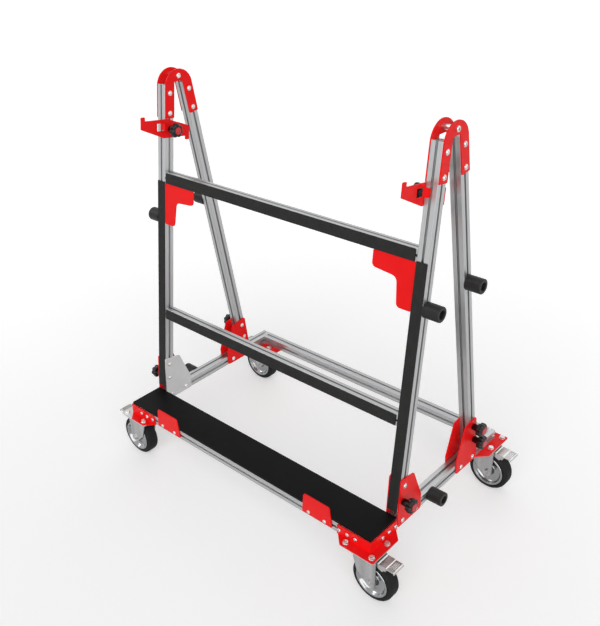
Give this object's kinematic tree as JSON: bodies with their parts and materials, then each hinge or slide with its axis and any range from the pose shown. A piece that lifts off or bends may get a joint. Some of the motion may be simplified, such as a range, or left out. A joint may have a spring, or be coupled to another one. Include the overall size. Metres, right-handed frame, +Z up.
{
  "type": "panel trolley",
  "caption": "Trolley with an A-shaped frame of slotted profile, a padded leaning face over a narrow deck, sliding hooks and braked swivel casters, for moving large panels.",
  "frame": {"origin": "on the floor, under the middle of the base", "axes": "+X to the right, +Y from the loading side to the back, +Z up"},
  "size_m": [1.393, 0.822, 1.4913],
  "materials": {
    "red_paint": "smooth red powder coat, slightly glossy",
    "profile_aluminium": "satin anodised, drawn along the length",
    "pad_rubber": "matte black extruded rubber",
    "board": "plywood with a dark, finely textured non-slip film",
    "bare_steel": "light grey, uncoated sheet",
    "zinc_steel": "bright zinc plate",
    "tyre": "dark solid rubber tread",
    "wheel_rim": "cast grey wheel centre",
    "black_plastic": "moulded black plastic, fine grain",
    "knob_cap": "red press-in cap"
  },
  "bodies": {
    "frame": {"arch_plates_left": "red_paint", "corner_gusset_left": "red_paint", "panel_stop_left": "red_paint", "rear_foot_plates_left": "red_paint", "corner_bracket_front_left": "red_paint", "corner_bracket_rear_left": "red_paint", "arch_plates_right": "red_paint", "corner_gusset_right": "red_paint", "panel_stop_right": "red_paint", "rear_foot_plates_right": "red_paint", "corner_bracket_front_right": "red_paint", "corner_bracket_rear_right": "red_paint", "front_foot_plate_left_outer": "red_paint", "front_foot_plates_right": "red_paint", "side_rail_left": "profile_aluminium", "upright_left": "profile_aluminium", "rear_leg_left": "profile_aluminium", "side_rail_right": "profile_aluminium", "upright_right": "profile_aluminium", "rear_leg_right": "profile_aluminium", "front_cross_rail": "profile_aluminium", "rear_cross_rail": "profile_aluminium", "middle_cross_rail": "profile_aluminium", "upper_cross_rail": "profile_aluminium", "upright_pad_left": "pad_rubber", "upright_pad_right": "pad_rubber", "middle_rail_pad": "pad_rubber", "upper_rail_pad": "pad_rubber", "platform_board": "board", "front_foot_plate_left_inner": "bare_steel", "corner_wing_front_left": "bare_steel", "frame_screws": "zinc_steel", "slot_nuts": "zinc_steel", "rail_end_screws": "zinc_steel", "caster_bolts": "zinc_steel", "caster_top_plates": "zinc_steel", "strap_pegs": "black_plastic", "apex_tie_bolts": "zinc_steel"},
    "caster_fork_front_left": {"caster_fork_front_left": "zinc_steel"},
    "caster_fork_front_right": {"caster_fork_front_right": "zinc_steel"},
    "caster_fork_rear_left": {"caster_fork_rear_left": "zinc_steel"},
    "caster_fork_rear_right": {"caster_fork_rear_right": "zinc_steel"},
    "caster_wheel_front_left": {"caster_wheel_front_left": "tyre"},
    "caster_wheel_front_right": {"caster_wheel_front_right": "tyre"},
    "caster_wheel_rear_left": {"caster_wheel_rear_left": "tyre"},
    "caster_wheel_rear_right": {"caster_wheel_rear_right": "tyre"},
    "brake_pedal_front_left": {"brake_pedal_front_left": "zinc_steel"},
    "brake_pedal_front_right": {"brake_pedal_front_right": "zinc_steel"},
    "brake_pedal_rear_left": {"brake_pedal_rear_left": "zinc_steel"},
    "brake_pedal_rear_right": {"brake_pedal_rear_right": "zinc_steel"},
    "panel_hook_left": {"panel_hook_left": "red_paint"},
    "panel_hook_right": {"panel_hook_right": "red_paint"},
    "foot_knob_front_left": {"foot_knob_front_left": "black_plastic"},
    "foot_knob_rear_left_lower": {"foot_knob_rear_left_lower": "black_plastic"},
    "foot_knob_rear_left_upper": {"foot_knob_rear_left_upper": "black_plastic"},
    "foot_knob_front_right": {"foot_knob_front_right": "black_plastic"},
    "foot_knob_rear_right_lower": {"foot_knob_rear_right_lower": "black_plastic"},
    "foot_knob_rear_right_upper": {"foot_knob_rear_right_upper": "black_plastic"},
    "hook_knob_left": {"hook_knob_left": "black_plastic"},
    "hook_knob_right": {"hook_knob_right": "black_plastic"}
  },
  "joints": [
    {"name": "swivel_front_left", "type": "hinge", "parent": "frame", "child": "caster_fork_front_left", "pos_m": [-0.5675, -0.355, 0.168], "axis": [0, 0, 1], "continuous": true},
    {"name": "roll_front_left", "type": "hinge", "parent": "caster_fork_front_left", "child": "caster_wheel_front_left", "pos_m": [-0.6055, -0.355, 0.08], "axis": [0, 1, 0], "continuous": true},
    {"name": "brake_front_left", "type": "hinge", "parent": "caster_fork_front_left", "child": "brake_pedal_front_left", "pos_m": [-0.6215, -0.355, 0.168], "axis": [0, -1, 0], "range_deg": [0, 10]},
    {"name": "swivel_front_right", "type": "hinge", "parent": "frame", "child": "caster_fork_front_right", "pos_m": [0.5675, -0.355, 0.168], "axis": [0, 0, 1], "continuous": true},
    {"name": "roll_front_right", "type": "hinge", "parent": "caster_fork_front_right", "child": "caster_wheel_front_right", "pos_m": [0.6055, -0.355, 0.08], "axis": [0, 1, 0], "continuous": true},
    {"name": "brake_front_right", "type": "hinge", "parent": "caster_fork_front_right", "child": "brake_pedal_front_right", "pos_m": [0.6215, -0.355, 0.168], "axis": [0, 1, 0], "range_deg": [0, 10]},
    {"name": "swivel_rear_left", "type": "hinge", "parent": "frame", "child": "caster_fork_rear_left", "pos_m": [-0.5675, 0.355, 0.168], "axis": [0, 0, 1], "continuous": true},
    {"name": "roll_rear_left", "type": "hinge", "parent": "caster_fork_rear_left", "child": "caster_wheel_rear_left", "pos_m": [-0.6055, 0.355, 0.08], "axis": [0, 1, 0], "continuous": true},
    {"name": "brake_rear_left", "type": "hinge", "parent": "caster_fork_rear_left", "child": "brake_pedal_rear_left", "pos_m": [-0.6215, 0.355, 0.168], "axis": [0, -1, 0], "range_deg": [0, 10]},
    {"name": "swivel_rear_right", "type": "hinge", "parent": "frame", "child": "caster_fork_rear_right", "pos_m": [0.5675, 0.355, 0.168], "axis": [0, 0, 1], "continuous": true},
    {"name": "roll_rear_right", "type": "hinge", "parent": "caster_fork_rear_right", "child": "caster_wheel_rear_right", "pos_m": [0.6055, 0.355, 0.08], "axis": [0, 1, 0], "continuous": true},
    {"name": "brake_rear_right", "type": "hinge", "parent": "caster_fork_rear_right", "child": "brake_pedal_rear_right", "pos_m": [0.6215, 0.355, 0.168], "axis": [0, 1, 0], "range_deg": [0, 10]},
    {"name": "hook_slide_left", "type": "slide", "parent": "frame", "child": "panel_hook_left", "axis": [0, 0.1479, 0.989], "range_m": [-0.122, 0]},
    {"name": "hook_knob_turn_left", "type": "hinge", "parent": "panel_hook_left", "child": "hook_knob_left", "pos_m": [-0.56, -0.06286, 1.29007], "axis": [1, 0, 0], "range_deg": [0, 270]},
    {"name": "hook_slide_right", "type": "slide", "parent": "frame", "child": "panel_hook_right", "axis": [0, 0.1479, 0.989], "range_m": [-0.122, 0]},
    {"name": "hook_knob_turn_right", "type": "hinge", "parent": "panel_hook_right", "child": "hook_knob_right", "pos_m": [0.56, -0.06286, 1.29007], "axis": [-1, 0, 0], "range_deg": [0, 270]},
    {"name": "foot_knob_turn_front_left", "type": "hinge", "parent": "frame", "child": "foot_knob_front_left", "pos_m": [-0.6, -0.21117, 0.2986], "axis": [-1, 0, 0], "range_deg": [0, 270]},
    {"name": "foot_knob_turn_rear_left_lower", "type": "hinge", "parent": "frame", "child": "foot_knob_rear_left_lower", "pos_m": [-0.6, 0.21117, 0.2986], "axis": [-1, 0, 0], "range_deg": [0, 270]},
    {"name": "foot_knob_turn_rear_left_upper", "type": "hinge", "parent": "frame", "child": "foot_knob_rear_left_upper", "pos_m": [-0.6, 0.2023, 0.35794], "axis": [-1, 0, 0], "range_deg": [0, 270]},
    {"name": "foot_knob_turn_front_right", "type": "hinge", "parent": "frame", "child": "foot_knob_front_right", "pos_m": [0.6, -0.21117, 0.2986], "axis": [1, 0, 0], "range_deg": [0, 270]},
    {"name": "foot_knob_turn_rear_right_lower", "type": "hinge", "parent": "frame", "child": "foot_knob_rear_right_lower", "pos_m": [0.6, 0.21117, 0.2986], "axis": [1, 0, 0], "range_deg": [0, 270]},
    {"name": "foot_knob_turn_rear_right_upper", "type": "hinge", "parent": "frame", "child": "foot_knob_rear_right_upper", "pos_m": [0.6, 0.2023, 0.35794], "axis": [1, 0, 0], "range_deg": [0, 270]}
  ]
}
